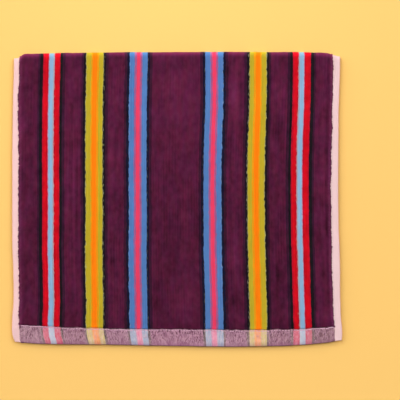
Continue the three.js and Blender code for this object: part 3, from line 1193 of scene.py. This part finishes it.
def stripe_stops(stripes):
    """Stops of a ramp that holds each stripe's colour up to its reach."""
    edges = [0] + [reach for reach, colour in stripes]
    return [(edge / HALF_WIDTH, colour) for edge, (reach, colour) in zip(edges, stripes)]


def stripe_colour(finish, across, along):
    """The warp's colour at a place, with the ragged borders that pile threads leave."""
    even = abs(across) / HALF_WIDTH
    ragged = finish.grey(finish.ramp(even, grey_stops(RAGGED)))
    slow = finish.noise(across, along, 5, 8, 1) - 0.5
    quick = finish.noise(across, along, 2.2, 3, 2) - 0.5
    place = abs(across + (slow * 2.4 + quick * 1.4) * ragged) / HALF_WIDTH
    inner = finish.ramp(place, stripe_stops(INNER_STRIPES), "CONSTANT")
    outer = finish.ramp(place, stripe_stops(OUTER_STRIPES), "CONSTANT")
    striped = finish.mixed(place.above(RUNS_MEET / HALF_WIDTH), inner, outer)
    lines = [(0.0, 0)]
    for line, amount in GROUND_LINES:
        lines += [(line - GROUND_LINE_REACH, 0), (line, amount), (line + GROUND_LINE_REACH, 0)]
    near_line = finish.grey(finish.ramp(place, grey_stops(lines)))
    shows = finish.eased(finish.noise(across, along, 1.5, 6, 3), 0.52, 0.68)
    return finish.mixed(near_line * shows, striped, GROUND)


def velour_finish():
    """Sheared pile: deep striped colour with soft lengthwise shading, as its nap lies, and painted shade and
    highlights from the nap's tone map.
    """
    finish = Finish("striped velour pile")
    across, along = finish.place("cloth")
    noise = partial(finish.noise, across, along)
    lie = finish.place("lie")[0]
    inside = finish.place("border")[0]
    colour = stripe_colour(finish, across, along)
    cloudy = noise(15, 22, 4, detail=1.0) - 0.5
    mottled = noise(7, 10, 10, detail=1.0) - 0.5
    streaky = noise(4, 70, 5, detail=2.0) - 0.5
    threads = noise(2.0, 45, 6) - 0.5
    ribs = finish.wave(across, along, 4.3, 130, 1.5)
    ribbed = finish.eased(noise(34, 80, 9), 0.5, 0.62)
    deep = finish.eased(finish.grey(colour), 0.22, 0.04)
    outer = finish.eased(abs(across), 60, 80)
    uneven_dye = (cloudy * 0.7 + mottled * 0.65) * (1 + outer * 0.2)
    even = (streaky * 0.38 + threads * 0.22) * (0.7 + outer * 0.3) + (ribs - 0.5) * ribbed * 0.14
    # The nap map brings in the nap's tone together with painted shade and painted highlights
    tone = 1 + lie * (0.14 + deep * 0.86) + even * (0.6 + deep * 0.4) + uneven_dye * (0.12 + deep * 0.88)
    toned = finish.node("VectorMath", {"operation": "SCALE"}, {0: colour, 3: tone})
    hue = 0.5 + (finish.eased(noise(9, 40, 7), 0.3, 0.7) - 0.5) * deep
    faded = 0.5 + (finish.eased(noise(6, 10, 17), 0.3, 0.7) - 0.5) * deep
    tint = finish.mixed(hue, WARM_NAP, COOL_NAP)
    tint = finish.mixed(1.0, tint, finish.mixed(faded, DULL_NAP, FRESH_NAP), blend="MULTIPLY")
    # Painted warm reflection where the painted light is strongest, mostly along the fold
    tint = finish.mixed(finish.eased(lie, 0.9, 2.0), tint, FOLD_PAINTED_WARM_LIGHT)
    tinted = finish.mixed(1.0, toned, tint, blend="MULTIPLY")
    flecks = finish.eased(noise(1.7, 2.0, 20), 0.5, 0.7)
    pale_share = finish.eased(inside, 6, 0) * (0.018 + flecks * 0.045)
    tinted = finish.mixed(pale_share, tinted, PALE_TIPS)
    tips = noise(0.9, 0.9, 8, detail=1.0)
    height = tips * 0.7 + ribs * ribbed * 0.5
    sheen = {"Sheen Weight": 0.35, "Sheen Roughness": 0.3, "Sheen Tint": SHEEN}
    return finish.surface(tinted, 0.95, height, distance=0.0003, specular=0.05, more=sheen)


def flat_weave_finish():
    """The pile-less borders: pale selvedges, and hems where the weft's pale threads mix with the stripes."""
    finish = Finish("flat woven hem and selvedge")
    across, along = finish.place("cloth")
    inside, before_hem = finish.place("border")
    noise = partial(finish.noise, across, before_hem)
    from_end = finish.place("lie")[1]
    colour = stripe_colour(finish, across, along)
    veiled = finish.ramp(abs(across) / HALF_WIDTH, stripe_stops(HEM_STRIPES), "CONSTANT")
    fan = noise(HEM_FAN_GRAIN, 60, 18) - 0.5
    slanted = across + before_hem * fan * (2 * HEM_FAN)
    dashes = finish.noise(slanted, before_hem, 1.7, 6.5, 11, detail=1.0) - 0.5
    strips = finish.noise(slanted, before_hem, 2.6, 45, 19) - 0.5
    specks = noise(1.5, 2.0, 12, detail=1.0) - 0.5
    cloudy = noise(12, 8, 16) - 0.5
    near_pile = finish.eased(before_hem, -9, -3)
    share = 0.5 + dashes * 1.5 + strips * 0.8 + specks * (0.5 + near_pile * 1.4) + cloudy * 0.4
    heather = finish.mixed(share, finish.mixed(0.4, veiled, colour), finish.mixed(0.3, veiled, PALE_PINK))
    heather = finish.mixed(finish.eased(across, 190, 222) * 0.3, heather, HEM_BROWN)
    # Darker towards the hem's end and darkest at its edge, partly the warp showing where the hem rolls and
    # partly painted shade and painted shadow
    rolled_and_shaded = finish.mixed(finish.eased(from_end, 9.5, 1.0) * 0.42, heather, HEM_END_WARP_AND_SHADE)
    rolled_and_shaded = finish.mixed(finish.eased(from_end, 1.6, 0.2) * 0.7, rolled_and_shaded, HEM_EDGE_WARP_AND_SHADOW)
    ragged = inside + (finish.noise(across, along, 2.0, 2.0, 13) - 0.5) * 1.2
    in_band = finish.eased(ragged, -0.2, 0.2) * finish.eased(before_hem, 0.6, -0.2)
    cream = finish.mixed(finish.eased(across, -20, 20), LEFT_PINK, RIGHT_PINK)
    weft = finish.noise(across, along, 8, 0.8, 15)
    pale = finish.mixed(weft * 0.2, cream, WEFT_SHADE)
    base = finish.mixed(in_band, pale, rolled_and_shaded)
    warp = finish.wave(across, along, 1.4, 19, 0.6)
    height = warp * 0.3 + specks * 0.5 + dashes * 0.5 + weft * 0.4
    return finish.surface(base, 0.85, height, distance=0.0003)


def loops_finish():
    """The cloth's back, of uncut loops in the stripes' colours over the pale ground."""
    finish = Finish("looped terry back")
    across, along = finish.place("cloth")
    colour = stripe_colour(finish, across, along)
    spot = finish.node("CombineXYZ", {}, {0: across / 1.6, 1: along / 2.0})
    loops = finish.node("TexVoronoi", {}, {"Vector": spot, "Scale": 1.0})
    ground = finish.eased(loops, 0.35, 0.6)
    base = finish.mixed(ground * 0.5, colour, PALE_PINK)
    return finish.surface(base, 0.95, 1 - loops, distance=0.0008)


def float_finish():
    """The hem's pale threads, tinted by the stripe that they cross."""
    finish = Finish("pale threads of the hem")
    across, along = finish.place("cloth")
    veiled = finish.ramp(abs(across) / HALF_WIDTH, stripe_stops(HEM_STRIPES), "CONSTANT")
    worn = finish.noise(across, along, 2.0, 2.0, 22)
    base = finish.mixed(0.3 + worn * 0.4, veiled, FLOAT_PINK)
    return finish.surface(base, 0.8)


def thread_finish(name, colour):
    """A single cotton yarn, a little darker in its twist."""
    finish = Finish(name)
    across, along = finish.place("cloth")
    worn = finish.noise(across, along, 2.0, 2.0, 21)
    shade = (*(TWIST_SHADE * channel for channel in colour[:3]), 1.0)
    base = finish.mixed(worn * 0.4, colour, shade)
    return finish.surface(base, 0.8)


velour = velour_finish()
flat_weave = flat_weave_finish()
loops = loops_finish()
pale_yarn = thread_finish("pale pink cotton yarn", PALE_PINK)
stitch_yarn = thread_finish("violet pink sewing yarn", STITCH_PINK)
hem_yarn = float_finish()

towel = towel_cloth(velour, flat_weave, loops)
details = [
    selvedge_tufts(velour),
    hem_tufts(velour),
    hem_floats("hem_pale_floats", hem_yarn, 53, 1900, 0.27, 0.2),
    hem_floats("hem_dark_floats", velour, 54, 1200, 0.27, 0.3, dark=True),
    hem_stitches(stitch_yarn),
    selvedge_turns(pale_yarn),
]

for piece in [towel, *details]:
    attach(piece, "root")
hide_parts("towel")


# The photo looks straight down; its frame is FRAME_WIDTH across at the towel's top
FRAME_WIDTH = 0.6136
VIEW_CENTRE = (0.0353, -0.0004)
CAMERA_HEIGHT = 2.4
TOWEL_TOP = 0.010

FLOOR_HALF = 30.0
FLOOR_DROP = 0.0003

# Even lights: where each comes from, how strong it is and how many degrees wide
WIDE_LIGHTS = listed(
    "name place strength spread",
    ("ceiling", (-0.25, 0.26, 0.93), 0.7, 40),
    ("wall_left", (-1.4, 0.7, 0.85), 1.42, 45),
    ("wall_right", (1.3, 0.6, 1.5), 1.12, 45),
    ("wall_fold", (0.1, 1.3, 0.8), 0.38, 35),
)
LAMP_NEAR_FOLD = (-0.05, 0.62, 0.6)
LAMP_POWER = 6.6
LAMP_RADIUS = 0.2

# Light from all round, overhead and low down, and between which heights the one turns into the other
OVERHEAD = (0.186, 0.181, 0.177, 1)
HORIZON = (0.85, 0.76, 0.6, 1)
HORIZON_BAND = (0.05, 0.35)


def floor():
    """A plain pale surface, wide enough to fill every view."""
    mesh = bpy.data.meshes.new("floor")
    corners = [(x * FLOOR_HALF, y * FLOOR_HALF, -FLOOR_DROP) for x, y in ((-1, -1), (1, -1), (1, 1), (-1, 1))]
    mesh.from_pydata(corners, [], [(0, 1, 2, 3)])
    finish = Finish("pale yellow paper")
    mesh.materials.append(finish.surface(YELLOW_PAPER, 0.9))
    add_to_scene("floor", mesh)


def wide_light(name, place, strength, spread):
    """Even soft light from far off, from the direction of a place."""
    lamp = bpy.data.lights.new(name, "SUN")
    lamp.energy = strength
    lamp.angle = math.radians(spread)
    obj = add_to_scene(name, lamp, place)
    obj.rotation_euler = (-Vector(place)).to_track_quat("-Z", "Y").to_euler()


def soft_lamp():
    """A round soft lamp that hangs near the fold."""
    lamp = bpy.data.lights.new("lamp_near_fold", "POINT")
    lamp.energy = LAMP_POWER
    lamp.shadow_soft_size = LAMP_RADIUS
    add_to_scene("lamp_near_fold", lamp, LAMP_NEAR_FOLD)


def room_light():
    """Light from all round, paler and warmer low down where it stands in for the room's far walls."""
    world = bpy.data.worlds.new("even room light")
    world.use_nodes = True
    tree = world.node_tree
    direction = tree.nodes.new("ShaderNodeTexCoord").outputs["Generated"]
    height = tree.nodes.new("ShaderNodeSeparateXYZ")
    tree.links.new(direction, height.inputs[0])
    band = tree.nodes.new("ShaderNodeMapRange")
    band.interpolation_type = "SMOOTHSTEP"
    band.inputs["From Min"].default_value, band.inputs["From Max"].default_value = HORIZON_BAND
    tree.links.new(height.outputs[2], band.inputs[0])
    sky = tree.nodes.new("ShaderNodeMix")
    sky.data_type = "RGBA"
    sky.inputs[6].default_value = HORIZON
    sky.inputs[7].default_value = OVERHEAD
    tree.links.new(band.outputs[0], sky.inputs[0])
    tree.links.new(sky.outputs[2], tree.nodes["Background"].inputs["Color"])
    bpy.context.scene.world = world


def camera():
    """A lens above the towel that takes in the photo's frame."""
    lens = bpy.data.cameras.new("camera")
    lens.lens = lens.sensor_width * (CAMERA_HEIGHT - TOWEL_TOP) / FRAME_WIDTH
    bpy.context.scene.camera = add_to_scene("camera", lens, (*VIEW_CENTRE, CAMERA_HEIGHT))


floor()
for light in WIDE_LIGHTS:
    wide_light(**light)
soft_lamp()
room_light()
camera()
bpy.context.scene.view_settings.view_transform = "Standard"
